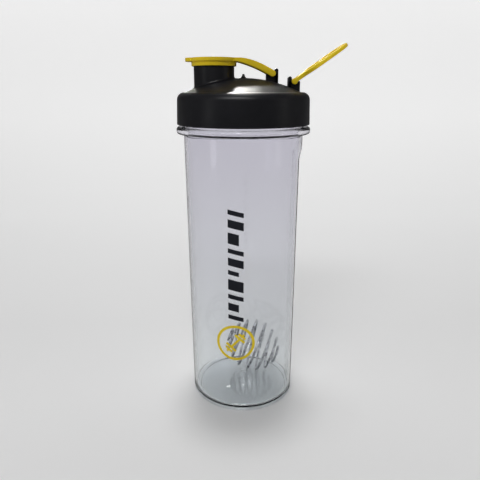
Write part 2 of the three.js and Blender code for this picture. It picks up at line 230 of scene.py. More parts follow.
def spun(path, centre_x=AXIS, sides=128, closed=True):
    """A closed solid of revolution about a vertical line; path points are (radius, height)."""
    bm = bmesh.new()
    verts = [bm.verts.new((centre_x + radius, 0, height)) for radius, height in path]
    edges = [bm.edges.new(pair) for pair in zip(verts, verts[1:])]
    if closed:
        edges.append(bm.edges.new((verts[-1], verts[0])))
    bmesh.ops.spin(
        bm,
        geom=verts + edges,
        cent=(centre_x, 0, 0),
        axis=(0, 0, 1),
        angle=TAU,
        steps=sides,
        use_merge=True,
    )
    bmesh.ops.remove_doubles(bm, verts=bm.verts, dist=1e-6)
    bmesh.ops.recalc_face_normals(bm, faces=bm.faces)
    return bm


def slab(outline, low, high, plane="XY"):
    """An outline in a plane, extruded between two levels: Z for XY, Y for XZ."""
    bm = bmesh.new()
    if plane == "XY":
        verts = [bm.verts.new((a, b, low)) for a, b in outline]
        move = Vector((0, 0, high - low))
    else:
        verts = [bm.verts.new((a, low, b)) for a, b in outline]
        move = Vector((0, high - low, 0))
    face = bm.faces.new(verts)
    grown = bmesh.ops.extrude_face_region(bm, geom=[face])
    top = [item for item in grown["geom"] if isinstance(item, bmesh.types.BMVert)]
    bmesh.ops.translate(bm, verts=top, vec=move)
    bmesh.ops.recalc_face_normals(bm, faces=bm.faces)
    return bm


def soften(bm, radius, segments=3, over=40):
    """Bevels the edges sharper than an angle in degrees."""
    limit = math.radians(over)
    edges = [
        edge for edge in bm.edges if len(edge.link_faces) == 2 and edge.calc_face_angle(0) > limit
    ]
    bmesh.ops.bevel(
        bm,
        geom=edges,
        offset=radius,
        offset_type="OFFSET",
        segments=segments,
        profile=0.5,
        affect="EDGES",
        clamp_overlap=True,
        material=-1,
    )
    return bm


def cut_across(bm, start, stop, stride, tolerance):
    """Adds edges across a mesh at equal steps along X, so that it can bend."""
    x = start
    while x < stop:
        geometry = bm.verts[:] + bm.edges[:] + bm.faces[:]
        bmesh.ops.bisect_plane(
            bm, geom=geometry, plane_co=(x, 0, 0), plane_no=(1, 0, 0), dist=tolerance
        )
        x += stride


def rod(radius, centre, low, high, sides=24):
    """A cylinder along Y."""
    angles = [TAU * i / sides for i in range(sides)]
    circle = [(centre.x + radius * math.cos(a), centre.z + radius * math.sin(a)) for a in angles]
    return slab(circle, low, high, plane="XZ")


def temporary(bm):
    """A bmesh as an object for the boolean tools, removed afterwards."""
    mesh = bpy.data.meshes.new("tool")
    bm.to_mesh(mesh)
    bm.free()
    tool = bpy.data.objects.new("tool", mesh)
    bpy.context.scene.collection.objects.link(tool)
    return tool


def combined(base, steps):
    """Joins and cuts solids: steps are (operation, bmesh), and base is a bmesh. Gives a bmesh."""
    body = temporary(base)
    tools = []
    for operation, bm in steps:
        tool = temporary(bm)
        tools.append(tool)
        cut = body.modifiers.new(operation, "BOOLEAN")
        cut.operation = operation
        cut.solver = "EXACT"
        cut.object = tool
    shown = body.evaluated_get(bpy.context.evaluated_depsgraph_get())
    made = bmesh.new()
    made.from_mesh(shown.data)
    for tool in [body, *tools]:
        mesh = tool.data
        bpy.data.objects.remove(tool)
        bpy.data.meshes.remove(mesh)
    bmesh.ops.remove_doubles(made, verts=made.verts, dist=2e-6)
    bmesh.ops.dissolve_degenerate(made, edges=made.edges, dist=1e-6)
    return made


def screw_rib(root, crest, start, sides=128):
    """A right-hand screw rib between two radii, swept up from a height."""
    bm = bmesh.new()
    corners = [
        (root, -THREAD_ROOT_HALF),
        (crest, -THREAD_CREST_HALF),
        (crest, THREAD_CREST_HALF),
        (root, THREAD_ROOT_HALF),
    ]
    verts = [bm.verts.new((AXIS + radius, 0, start + height)) for radius, height in corners]
    face = bm.faces.new(verts)
    steps = round(THREAD_TURNS * sides)
    rise = THREAD_PITCH * THREAD_TURNS / steps
    bmesh.ops.spin(
        bm,
        geom=[face],
        cent=(AXIS, 0, 0),
        axis=(0, 0, 1),
        dvec=(0, 0, rise),
        angle=TAU * THREAD_TURNS,
        steps=steps,
        use_merge=False,
    )
    bmesh.ops.recalc_face_normals(bm, faces=bm.faces)
    return bm


# ---------------------------------------------------------------- shader groups


def new_group(name, inputs, outputs):
    """An empty shader group: inputs are (name, type, default) and outputs (name, type)."""
    group = bpy.data.node_groups.new(name, "ShaderNodeTree")
    for label, kind, default in inputs:
        socket = group.interface.new_socket(label, in_out="INPUT", socket_type=f"NodeSocket{kind}")
        socket.default_value = default
    for label, kind in outputs:
        group.interface.new_socket(label, in_out="OUTPUT", socket_type=f"NodeSocket{kind}")
    return group, group.nodes.new("NodeGroupInput"), group.nodes.new("NodeGroupOutput")


def add_node(tree, kind, settings=None, **values):
    """A node with its properties and input values set."""
    node = tree.nodes.new(f"ShaderNode{kind}")
    for key, value in (settings or {}).items():
        setattr(node, key, value)
    for key, value in values.items():
        node.inputs[key.replace("_", " ")].default_value = value
    return node


def mould_group():
    """Moulded plastic: fine grain, slow sink marks, and a little handling wear in the gloss."""
    group, given, out = new_group(
        "moulded_plastic",
        [
            ("Colour", "Color", (0.5, 0.5, 0.5, 1)),
            ("Roughness", "Float", 0.4),
            ("Spread", "Float", 0.1),
            ("Grain", "Float", 2500.0),
            ("Depth", "Float", 0.1),
        ],
        [("Colour", "Color"), ("Roughness", "Float"), ("Normal", "Vector")],
    )
    link = group.links.new
    place = add_node(group, "TexCoord")
    grain = add_node(group, "TexNoise", Detail=3.0, Roughness=0.6)
    link(place.outputs["Object"], grain.inputs["Vector"])
    link(given.outputs["Grain"], grain.inputs["Scale"])
    sink = add_node(group, "TexNoise", Scale=60.0, Detail=2.0)
    link(place.outputs["Object"], sink.inputs["Vector"])
    rub = add_node(group, "TexNoise", Scale=180.0, Detail=6.0, Roughness=0.7)
    link(place.outputs["Object"], rub.inputs["Vector"])

    shade = add_node(group, "MapRange", From_Min=0.3, From_Max=0.7, To_Min=0.9, To_Max=1.1)
    link(sink.outputs["Fac"], shade.inputs["Value"])
    tint = add_node(group, "VectorMath", {"operation": "SCALE"})
    link(given.outputs["Colour"], tint.inputs[0])
    link(shade.outputs["Result"], tint.inputs["Scale"])
    link(tint.outputs["Vector"], out.inputs["Colour"])

    centred = add_node(group, "Math", {"operation": "SUBTRACT"})
    centred.inputs[1].default_value = 0.5
    link(rub.outputs["Fac"], centred.inputs[0])
    spread = add_node(group, "Math", {"operation": "MULTIPLY_ADD", "use_clamp": True})
    link(centred.outputs["Value"], spread.inputs[0])
    link(given.outputs["Spread"], spread.inputs[1])
    link(given.outputs["Roughness"], spread.inputs[2])
    link(spread.outputs["Value"], out.inputs["Roughness"])

    fine = add_node(group, "Bump", Distance=0.05 * MM)
    link(given.outputs["Depth"], fine.inputs["Strength"])
    link(grain.outputs["Fac"], fine.inputs["Height"])
    slow = add_node(group, "Bump", Strength=0.15, Distance=0.4 * MM)
    link(sink.outputs["Fac"], slow.inputs["Height"])
    link(fine.outputs["Normal"], slow.inputs["Normal"])
    link(slow.outputs["Normal"], out.inputs["Normal"])
    return group


def scratch_group():
    """Fine scratches from use: thin, broken lines in two directions, as a mask from 0 to 1."""
    group, given, out = new_group(
        "fine_scratches",
        [("Density", "Float", 90.0), ("Width", "Float", 0.02)],
        [("Mask", "Float")],
    )
    link = group.links.new
    place = add_node(group, "TexCoord")
    found = []
    for turn, stretch in ((0.4, (1.0, 1.0, 0.12)), (-0.9, (0.2, 1.0, 1.0))):
        angles = (turn, turn / 2, turn)
        turned = add_node(
            group, "Mapping", {"vector_type": "POINT"}, Rotation=angles, Scale=stretch
        )
        link(place.outputs["Object"], turned.inputs["Vector"])
        lines = add_node(group, "TexVoronoi", {"feature": "DISTANCE_TO_EDGE"})
        link(turned.outputs["Vector"], lines.inputs["Vector"])
        link(given.outputs["Density"], lines.inputs["Scale"])
        thin = add_node(group, "Math", {"operation": "LESS_THAN"})
        link(lines.outputs["Distance"], thin.inputs[0])
        link(given.outputs["Width"], thin.inputs[1])
        found.append(thin)
    broken = add_node(group, "TexNoise", Scale=70.0, Detail=2.0)
    link(place.outputs["Object"], broken.inputs["Vector"])
    gaps = add_node(group, "MapRange", From_Min=0.5, From_Max=0.62)
    link(broken.outputs["Fac"], gaps.inputs["Value"])
    both = add_node(group, "Math", {"operation": "MAXIMUM"})
    link(found[0].outputs["Value"], both.inputs[0])
    link(found[1].outputs["Value"], both.inputs[1])
    mask = add_node(group, "Math", {"operation": "MULTIPLY"})
    link(both.outputs["Value"], mask.inputs[0])
    link(gaps.outputs["Result"], mask.inputs[1])
    link(mask.outputs["Value"], out.inputs["Mask"])
    return group


MOULD = mould_group()
SCRATCHES = scratch_group()

# ---------------------------------------------------------------- materials


def new_material(name):
    """A material with its Principled shader and node tree."""
    material = bpy.data.materials.new(name)
    material.use_nodes = True
    return material, material.node_tree, material.node_tree.nodes["Principled BSDF"]


def moulded(name, colour, roughness, spread, grain, depth, wear, **shader_values):
    """An opaque moulded plastic from the shared group, with scratches that dull it."""
    material, tree, shader = new_material(name)
    look = tree.nodes.new("ShaderNodeGroup")
    look.node_tree = MOULD
    look.inputs["Colour"].default_value = (*colour, 1)
    look.inputs["Roughness"].default_value = roughness
    look.inputs["Spread"].default_value = spread
    look.inputs["Grain"].default_value = grain
    look.inputs["Depth"].default_value = depth
    marks = tree.nodes.new("ShaderNodeGroup")
    marks.node_tree = SCRATCHES
    dulled = add_node(tree, "Math", {"operation": "MULTIPLY_ADD", "use_clamp": True})
    dulled.inputs[1].default_value = wear
    tree.links.new(marks.outputs["Mask"], dulled.inputs[0])
    tree.links.new(look.outputs["Roughness"], dulled.inputs[2])
    tree.links.new(look.outputs["Colour"], shader.inputs["Base Color"])
    tree.links.new(dulled.outputs["Value"], shader.inputs["Roughness"])
    tree.links.new(look.outputs["Normal"], shader.inputs["Normal"])
    for key, value in shader_values.items():
        shader.inputs[key.replace("_", " ")].default_value = value
    return material


def clear_plastic():
    """Clear cup plastic: faintly lavender, with painted shade that greys it upwards, and upright
    flow lines.
    """
    material, tree, shader = new_material("clear_cup_plastic")
    link = tree.links.new
    shader.inputs["Transmission Weight"].default_value = 1.0
    shader.inputs["IOR"].default_value = 1.5
    place = add_node(tree, "TexCoord")
    height = add_node(tree, "SeparateXYZ")
    link(place.outputs["Object"], height.inputs["Vector"])
    # Painted shade: the base colour greys towards the top, a darkening put into the colour instead
    # of made by light; the faint lavender is the plastic's own tint.
    rise = add_node(tree, "MapRange", From_Min=0.0, From_Max=BEAD_BOTTOM)
    link(height.outputs["Z"], rise.inputs["Value"])
    tint = add_node(tree, "ValToRGB")
    tint.color_ramp.elements[0].color = (0.97, 0.995, 0.995, 1)
    tint.color_ramp.elements[1].color = (0.80, 0.79, 0.845, 1)
    link(rise.outputs["Result"], tint.inputs["Fac"])
    link(tint.outputs["Color"], shader.inputs["Base Color"])

    marks = tree.nodes.new("ShaderNodeGroup")
    marks.node_tree = SCRATCHES
    dulled = add_node(tree, "MapRange", To_Min=0.02, To_Max=0.12)
    link(marks.outputs["Mask"], dulled.inputs["Value"])
    link(dulled.outputs["Result"], shader.inputs["Roughness"])

    upright = add_node(tree, "Mapping", Scale=(1.0, 1.0, 0.06))
    link(place.outputs["Object"], upright.inputs["Vector"])
    flow = add_node(tree, "TexNoise", Scale=70.0, Detail=2.0)
    link(upright.outputs["Vector"], flow.inputs["Vector"])
    waves = add_node(tree, "Bump", Strength=0.25, Distance=0.3 * MM)
    link(flow.outputs["Fac"], waves.inputs["Height"])
    link(waves.outputs["Normal"], shader.inputs["Normal"])

    path = add_node(tree, "LightPath")
    open_way = add_node(tree, "BsdfTransparent")
    open_way.inputs["Color"].default_value = (0.52, 0.53, 0.56, 1)
    mix = add_node(tree, "MixShader")
    output = tree.nodes["Material Output"]
    link(path.outputs["Is Shadow Ray"], mix.inputs["Fac"])
    link(shader.outputs["BSDF"], mix.inputs[1])
    link(open_way.outputs["BSDF"], mix.inputs[2])
    link(mix.outputs["Shader"], output.inputs["Surface"])
    return material


def wire_steel():
    """Drawn stainless wire: fine draw marks and small darker stains."""
    material, tree, shader = new_material("drawn_wire_steel")
    link = tree.links.new
    shader.inputs["Metallic"].default_value = 1.0
    place = add_node(tree, "TexCoord")
    stain = add_node(tree, "TexNoise", Scale=260.0, Detail=4.0)
    link(place.outputs["Object"], stain.inputs["Vector"])
    tint = add_node(tree, "ValToRGB")
    tint.color_ramp.elements[0].position = 0.35
    tint.color_ramp.elements[0].color = (0.30, 0.30, 0.32, 1)
    tint.color_ramp.elements[1].position = 0.65
    tint.color_ramp.elements[1].color = (0.52, 0.53, 0.55, 1)
    link(stain.outputs["Fac"], tint.inputs["Fac"])
    link(tint.outputs["Color"], shader.inputs["Base Color"])
    dull = add_node(tree, "MapRange", To_Min=0.18, To_Max=0.4)
    link(stain.outputs["Fac"], dull.inputs["Value"])
    link(dull.outputs["Result"], shader.inputs["Roughness"])
    fine = add_node(tree, "TexNoise", Scale=4000.0, Detail=1.0)
    link(place.outputs["Object"], fine.inputs["Vector"])
    drawn = add_node(tree, "Bump", Strength=0.12, Distance=0.03 * MM)
    link(fine.outputs["Fac"], drawn.inputs["Height"])
    link(drawn.outputs["Normal"], shader.inputs["Normal"])
    return material


BLACK = moulded(
    "black_lid_plastic",
    (0.009, 0.009, 0.0115),
    roughness=0.33,
    spread=0.12,
    grain=2400.0,
    depth=0.17,
    wear=0.02,
    Specular_IOR_Level=0.3,
)
YELLOW = moulded(
    "yellow_cap_plastic",
    (0.78, 0.565, 0.008),
    roughness=0.42,
    spread=0.18,
    grain=1900.0,
    depth=0.08,
    wear=0.15,
    Specular_IOR_Level=0.35,
)
SILICONE = moulded(
    "seal_silicone",
    (0.62, 0.62, 0.60),
    roughness=0.62,
    spread=0.12,
    grain=900.0,
    depth=0.2,
    wear=0.0,
    Subsurface_Weight=0.2,
)
INK = {"roughness": 0.45, "spread": 0.2, "grain": 3200.0, "depth": 0.06, "wear": 0.25}
BLACK_INK = moulded("black_print", (0.008, 0.010, 0.018), **INK)
YELLOW_INK = moulded("yellow_print", (0.80, 0.60, 0.010), **INK)
CLEAR = clear_plastic()
STEEL = wire_steel()

# ---------------------------------------------------------------- cup


def side_radius(height):
    """Outer radius of the cup's straight side at a height."""
    return CUP_SIDE_TOP - CUP_TAPER * (1 - height / BEAD_BOTTOM)


def smooth_least(a, b, blend):
    """The smaller of two lengths, with a rounded change from one to the other."""
    share = min(max(0.5 + 0.5 * (b - a) / blend, 0.0), 1.0)
    return b + (a - b) * share - blend * share * (1 - share)


def press_panel(bm):
    """Presses the flat grip panel and its slanted upper step into the +X side, inside and out."""
    face = side_radius(PANEL_TOP) - PANEL_DEPTH
    for vert in bm.verts:
        out = Vector((vert.co.x - AXIS, vert.co.y))
        height = vert.co.z
        if out.x < 0.6 * out.length or height > BEAD_BOTTOM - 2 * MM or out.length < RING_INNER:
            continue
        inner_face = out.length < side_radius(height) - CUP_WALL / 2 and height > FLOOR
        inset = CUP_WALL if inner_face else 0
        slant = face + (height - PANEL_TOP) * PANEL_DEPTH / PANEL_SLOPE
        plane = -smooth_least(-face, -slant, 1.6 * MM) - inset
        reach = plane * out.length / out.x
        out *= smooth_least(out.length, reach, 1.0 * MM) / out.length
        vert.co.x, vert.co.y = AXIS + out.x, out.y


def floor_arc(low, rise, edge, steps=8):
    """Points up the pushed-up floor from its edge to the middle."""
    shares = [1 - i / steps for i in range(steps + 1)]
    return [(edge * share, low + rise * (1 - share**2), 0) for share in shares]


def make_cup():
    """The clear shell with its foot, floor, bead, neck and outer screw rib."""
    bead_top = BEAD_BOTTOM + BEAD_HEIGHT
    foot = side_radius(0)
    rise = FLOOR_RISE - RING_STEP
    inside = foot - CUP_WALL
    gate = FLOOR_RISE + FLOOR - 0.05 * MM
    corners = [
        *reversed(floor_arc(RING_STEP, rise, RING_INNER - 1.2 * MM)),
        (RING_INNER - 0.3 * MM, RING_STEP, 0.35 * MM),
        (RING_INNER, 0, 0.35 * MM),
        (foot, 0, 2.6 * MM),
        (CUP_SIDE_TOP, BEAD_BOTTOM, 0.4 * MM),
        (BEAD_RADIUS, BEAD_BOTTOM, 1.7 * MM),
        (BEAD_RADIUS, bead_top, 1.7 * MM),
        (NECK_RADIUS, bead_top, 0.5 * MM),
        (NECK_RADIUS, RIM, 0.6 * MM),
        (MOUTH_RADIUS, RIM, 0.6 * MM),
        (MOUTH_RADIUS, BEAD_BOTTOM + CUP_WALL, 1.0 * MM),
        (CUP_SIDE_TOP - CUP_WALL, BEAD_BOTTOM - CUP_WALL, 1.0 * MM),
        (inside, RING_STEP + FLOOR, 2.4 * MM),
        *floor_arc(RING_STEP + FLOOR, rise, inside - 3.0 * MM)[:-2],
        (GATE_RADIUS + GATE_EDGE, gate, 0),
        (GATE_RADIUS, gate + 0.12 * MM, 0.05 * MM),
        (GATE_RADIUS - GATE_EDGE, gate, 0),
        (0, FLOOR_RISE + FLOOR, 0),
    ]
    shell = spun(divided(rounded(corners), 2.0 * MM), sides=192)
    press_panel(shell)
    rib = screw_rib(NECK_RADIUS - THREAD_SINK, NECK_RADIUS + THREAD_DEPTH, THREAD_START)
    bm = combined(shell, [("UNION", rib)])
    return finish_mesh("cup_shell", bm, CLEAR, smooth_under=50)


# ---------------------------------------------------------------- lid


def dome_height(radius):
    """Height of the lid's outside at a distance from the cup's axis."""
    return DOME_TOP - DOME_RISE * (radius / CROWN_RADIUS) ** 2


def dome_points(edge, lowered, steps=12):
    """Points down the dome from its middle to an edge, lowered by an amount."""
    radii = [edge * i / steps for i in range(steps + 1)]
    return [(radius, dome_height(radius) - lowered, 0) for radius in radii]


def lid_body():
    """The skirt, shoulder, dome and inner sealing ring, turned in one piece."""
    plug = MOUTH_RADIUS - 0.6 * MM
    bore = LID_RADIUS - LID_WALL
    seat = RIM + 3.1 * MM
    ring_edge = NECK_RADIUS + 1.2 * MM
    corners = [
        *dome_points(plug - 2.0 * MM, DOME_PLATE),
        (plug - 2.0 * MM, RIM - 6.0 * MM, 0.5 * MM),
        (plug, RIM - 6.0 * MM, 0.5 * MM),
        (plug, seat, 0.3 * MM),
        (ring_edge, seat, 0.3 * MM),
        (ring_edge, RIM + 0.3 * MM, 0.3 * MM),
        (bore, RIM - 0.7 * MM, 0.3 * MM),
        (bore, LID_BOTTOM, 0.5 * MM),
        (LID_RADIUS, LID_BOTTOM, 0.6 * MM),
        (SHOULDER_RADIUS, CROWN - 0.3 * MM, CORNER),
        (CROWN_RADIUS + 0.6 * MM, CROWN - 0.3 * MM, 0.5 * MM),
        *reversed(dome_points(CROWN_RADIUS - 0.4 * MM, 0)),
    ]
    return spun(rounded(corners, steps=7), sides=160)


def spout_tube():
    """The round spout; its foot flares to meet the dome all round."""
    flare = []
    for step in range(7):
        angle = math.radians(step * 15)
        out = SPOUT_RADIUS + SPOUT_FILLET * (1 - math.sin(angle))
        flare.append((out, SPOUT_FILLET * (1 - math.cos(angle)) - 0.05 * MM, 0))
    bore = SPOUT_RADIUS - SPOUT_WALL
    sunk = -1.5 * MM
    path = rounded(
        [
            (bore, sunk, 0),
            (SPOUT_RADIUS + SPOUT_FILLET, sunk, 0),
            *flare,
            (SPOUT_RADIUS, SPOUT_TOP, 0.5 * MM),
            (bore, SPOUT_TOP, 0.5 * MM),
        ]
    )
    bm = spun(path, centre_x=SPOUT_X, sides=128)
    for vert in bm.verts:
        if vert.co.z < CROWN / 2:
            vert.co.z += dome_height(math.hypot(vert.co.x - AXIS, vert.co.y))
    return bm


def hinge_block(pin, left, right, lip, finger_width, finger_on_right):
    """A hinge block's solids: body with a lip, a barrel round the pin and a tall finger."""
    half = BLOCK_WIDTH / 2
    foot = dome_height(abs(pin.x + right - AXIS)) - BLOCK_SINK
    top = pin.z + lip
    box = [(pin.x + left, foot), (pin.x + right, foot), (pin.x + right, top), (pin.x + left, top)]
    body = soften(slab(box, -half, half, plane="XZ"), BLOCK_EDGE)
    low_x = pin.x + right - finger_width if finger_on_right else pin.x + left
    tip = pin.z + FINGER_RISE
    round_tip = finger_width * 0.49
    outline = rounded(
        [
            (low_x, foot, 0),
            (low_x + finger_width, foot, 0),
            (low_x + finger_width, tip, round_tip),
            (low_x, tip, round_tip),
        ]
    )
    finger = soften(slab(outline, -half, half, plane="XZ"), BLOCK_EDGE)
    barrel = soften(rod(BARREL, pin, -half, half, sides=40), BLOCK_EDGE * 0.7)
    return [("UNION", body), ("UNION", finger), ("UNION", barrel)]


def make_lid():
    """The whole lid: turned body, spout, nub, inner screw rib and two drilled hinge blocks."""
    bore_radius = SPOUT_RADIUS - SPOUT_WALL
    bore_low, bore_high = CROWN - 8 * MM, SPOUT_TOP - 1.5 * MM
    bore = spun(
        [
            Vector((0, bore_low)),
            Vector((bore_radius, bore_low)),
            Vector((bore_radius, bore_high)),
            Vector((0, bore_high)),
        ],
        centre_x=SPOUT_X,
        closed=False,
    )
    nub = spun(
        rounded(
            [
                (0, DOME_TOP - NUB_SINK, 0),
                (2.4 * MM, DOME_TOP - NUB_SINK, 0),
                (2.2 * MM, DOME_TOP, 0.3 * MM),
                (1.2 * MM, DOME_TOP + 0.9 * MM, 0.6 * MM),
                (0.7 * MM, DOME_TOP + NUB_HEIGHT, 0.4 * MM),
                (0, DOME_TOP + NUB_HEIGHT, 0),
            ]
        ),
        sides=32,
        closed=False,
    )
    rib_root = LID_RADIUS - LID_WALL + THREAD_SINK
    rib = screw_rib(rib_root, NECK_RADIUS + 0.6 * MM, THREAD_START - THREAD_PITCH / 2)
    half = BLOCK_WIDTH / 2 + 1 * MM
    cap_block = hinge_block(
        CAP_PIN,
        left=-4.05 * MM,
        right=4.0 * MM,
        lip=0.5 * MM,
        finger_width=2.3 * MM,
        finger_on_right=True,
    )
    loop_block = hinge_block(
        LOOP_PIN,
        left=-3.9 * MM,
        right=3.9 * MM,
        lip=0.15 * MM,
        finger_width=2.1 * MM,
        finger_on_right=False,
    )
    steps = [
        ("UNION", spout_tube()),
        ("DIFFERENCE", bore),
        ("UNION", nub),
        ("UNION", rib),
        *cap_block,
        *loop_block,
        ("DIFFERENCE", rod(PIN_HOLE, CAP_PIN, -half, half)),
        ("DIFFERENCE", rod(PIN_HOLE, LOOP_PIN, -half, half)),
    ]
    return finish_mesh("lid_shell", combined(lid_body(), steps), BLACK, smooth_under=32)


def make_gasket():
    """The flat silicone ring, with a shallow groove round its outer edge."""
    outer = (ring_high[0] - ring_low[0]) / 2
    inner = outer - 3.2 * MM
    low, high = ring_low[2], ring_high[2]
    lip = 0.45 * MM
    corners = [
        (inner, low, lip),
        (outer, low, lip),
        (outer, low + 0.9 * MM, 0.25 * MM),
        (outer - lip, (low + high) / 2, 0.25 * MM),
        (outer, high - 0.9 * MM, 0.25 * MM),
        (outer, high, lip),
        (inner, high, lip),
    ]
    return finish_mesh("seal_ring", spun(rounded(corners), sides=128), SILICONE)


# ---------------------------------------------------------------- flip cap

ARM_BEND = SPOUT_X + PLATE_RADIUS + 0.7 * MM


def curve_points(start, pull, end, steps=14):
    """Points on a quadratic curve."""
    found = []
    for i in range(steps + 1):
        t = i / steps
        found.append(start * (1 - t) ** 2 + pull * (2 * t * (1 - t)) + end * t**2)
    return found


def arm_side():
    """The arm's side outline in X and Z, from the plate down to the round end at the pin."""
    top, under = CAP_TOP, CAP_UNDER - 0.2 * MM
    centre = Vector((CAP_PIN.x, CAP_PIN.z))
    leave, meet = math.radians(60), math.radians(-125)
    upper_end = centre + TINE_END * Vector((math.cos(leave), math.sin(leave)))
    lower_end = centre + TINE_END * Vector((math.cos(meet), math.sin(meet)))
    span = CAP_PIN.x - ARM_BEND
    ease = Vector((ARM_BEND + ARM_EASE * span, top))
    upper = curve_points(Vector((ARM_BEND, top)), ease, upper_end)
    around = [
        centre + TINE_END * Vector((math.cos(angle), math.sin(angle)))
        for angle in (leave + (meet - leave) * i / 10 for i in range(1, 10))
    ]
    pull = Vector((ARM_BEND + 0.49 * span, centre.y + 4.4 * MM))
    lower = curve_points(lower_end, pull, Vector((ARM_BEND - 1 * MM, under)))
    start = SPOUT_X + SKIRT_RADIUS - 0.6 * MM
    return [Vector((start, top)), *upper, *around, *lower, Vector((start, under))]


def cap_plan():
    """The flat part's plan outline: thumb tab, disc and the start of the arm."""
    tip = cap_low[0]
    reach = math.sqrt(PLATE_RADIUS**2 - TAB_HALF**2)
    first = math.atan2(TAB_HALF, -reach)
    last = math.atan2(ARM_HALF, math.sqrt(PLATE_RADIUS**2 - ARM_HALF**2))
    angles = [first + (last - first) * i / 28 for i in range(29)]
    disc = [(SPOUT_X + PLATE_RADIUS * math.cos(a), PLATE_RADIUS * math.sin(a)) for a in angles]
    end = CAP_PIN.x - 5.5 * MM
    half = rounded(
        [
            (tip, 0, 0),
            (tip, TAB_HALF, 5.0 * MM),
            (disc[1][0], TAB_HALF, 1.6 * MM),
            *((x, y, 0) for x, y in disc[2:-2]),
            (disc[-2][0], ARM_HALF, 2.2 * MM),
            (end, ARM_HALF, 0),
            (end, 0, 0),
        ],
        closed=False,
    )
    return half + [Vector((x, -y)) for x, y in reversed(half[1:-1])]


def arm_top(x):
    """Height of the arm's top surface at x."""
    if x <= ARM_BEND:
        return CAP_TOP
    points = curve_points(
        Vector((ARM_BEND, CAP_TOP)),
        Vector((ARM_BEND + ARM_EASE * (CAP_PIN.x - ARM_BEND), CAP_TOP)),
        Vector((CAP_PIN.x, CAP_PIN.z)) + TINE_END * Vector((0.5, 0.866)),
    )
    for a, b in zip(points, points[1:]):
        if x <= b.x:
            return a.y + (b.y - a.y) * (x - a.x) / (b.x - a.x)
    return points[-1].y


def cap_plate():
    """The plate with its tab and curved arm, cut across so that it can bend down."""
    bm = slab(cap_plan(), CAP_UNDER, CAP_TOP)
    soften(bm, 0.55 * MM, segments=3, over=60)
    cut_across(bm, ARM_BEND, CAP_PIN.x - 5.6 * MM, 1.0 * MM, 1e-7)
    for vert in bm.verts:
        vert.co.z -= CAP_TOP - arm_top(vert.co.x)
    return bm


def hanging_ring(outer, wall, depth):
    """A ring under the plate, round at its lower edge."""
    low, high = CAP_UNDER - depth, CAP_UNDER + 0.6 * MM
    inner = outer - wall
    edge = 0.3 * MM
    corners = [(inner, low, edge), (outer, low, edge), (outer, high, 0), (inner, high, 0)]
    return spun(rounded(corners), centre_x=SPOUT_X, sides=96)


def stub_pin(pin, side):
    """A stub pin from a tine inwards."""
    low, high = sorted((side * (TINE_INNER + 0.6 * MM), side * (TINE_INNER - 2.6 * MM)))
    return soften(rod(PIN, pin, low, high), 0.2 * MM)


def make_flip_cap():
    """The cap in one moulding: plate and arm, skirt, plug ring, two cheeks and two stub pins."""
    steps = [
        ("UNION", hanging_ring(SKIRT_RADIUS, SKIRT_WALL, SKIRT_DEPTH)),
        ("UNION", hanging_ring(PLUG_RADIUS, PLUG_WALL, PLUG_DEPTH)),
    ]
    for side in (-1, 1):
        low, high = sorted((side * TINE_INNER, side * ARM_HALF))
        cheek = slab(arm_side(), low, high, plane="XZ")
        steps.append(("UNION", soften(cheek, 0.5 * MM, segments=3, over=60)))
        steps.append(("UNION", stub_pin(CAP_PIN, side)))
    return finish_mesh("flip_cap_moulding", combined(cap_plate(), steps), YELLOW, smooth_under=40)


# ---------------------------------------------------------------- carry loop


def ring_slab(outer, inner, low, high):
    """Two outlines with the same number of points, bridged into a flat ring with a thickness."""
    bm = bmesh.new()
    edges = []
    for outline in (outer, inner):
        verts = [bm.verts.new((a, b, low)) for a, b in outline]
        edges += [bm.edges.new(pair) for pair in zip(verts, verts[1:] + verts[:1])]
    bmesh.ops.bridge_loops(bm, edges=edges)
    grown = bmesh.ops.extrude_face_region(bm, geom=bm.faces[:])
    top = [item for item in grown["geom"] if isinstance(item, bmesh.types.BMVert)]
    bmesh.ops.translate(bm, verts=top, vec=(0, 0, high - low))
    bmesh.ops.recalc_face_normals(bm, faces=bm.faces)
    return bm


def evenly(path, count):
    """The closed path as a number of evenly spaced points."""
    lengths = [0.0]
    for a, b in zip(path, path[1:] + path[:1]):
        lengths.append(lengths[-1] + (b - a).length)
    points, at = [], 0
    for i in range(count):
        want = lengths[-1] * i / count
        while lengths[at + 1] < want:
            at += 1
        share = (want - lengths[at]) / (lengths[at + 1] - lengths[at])
        points.append(path[at].lerp(path[(at + 1) % len(path)], share))
    return points


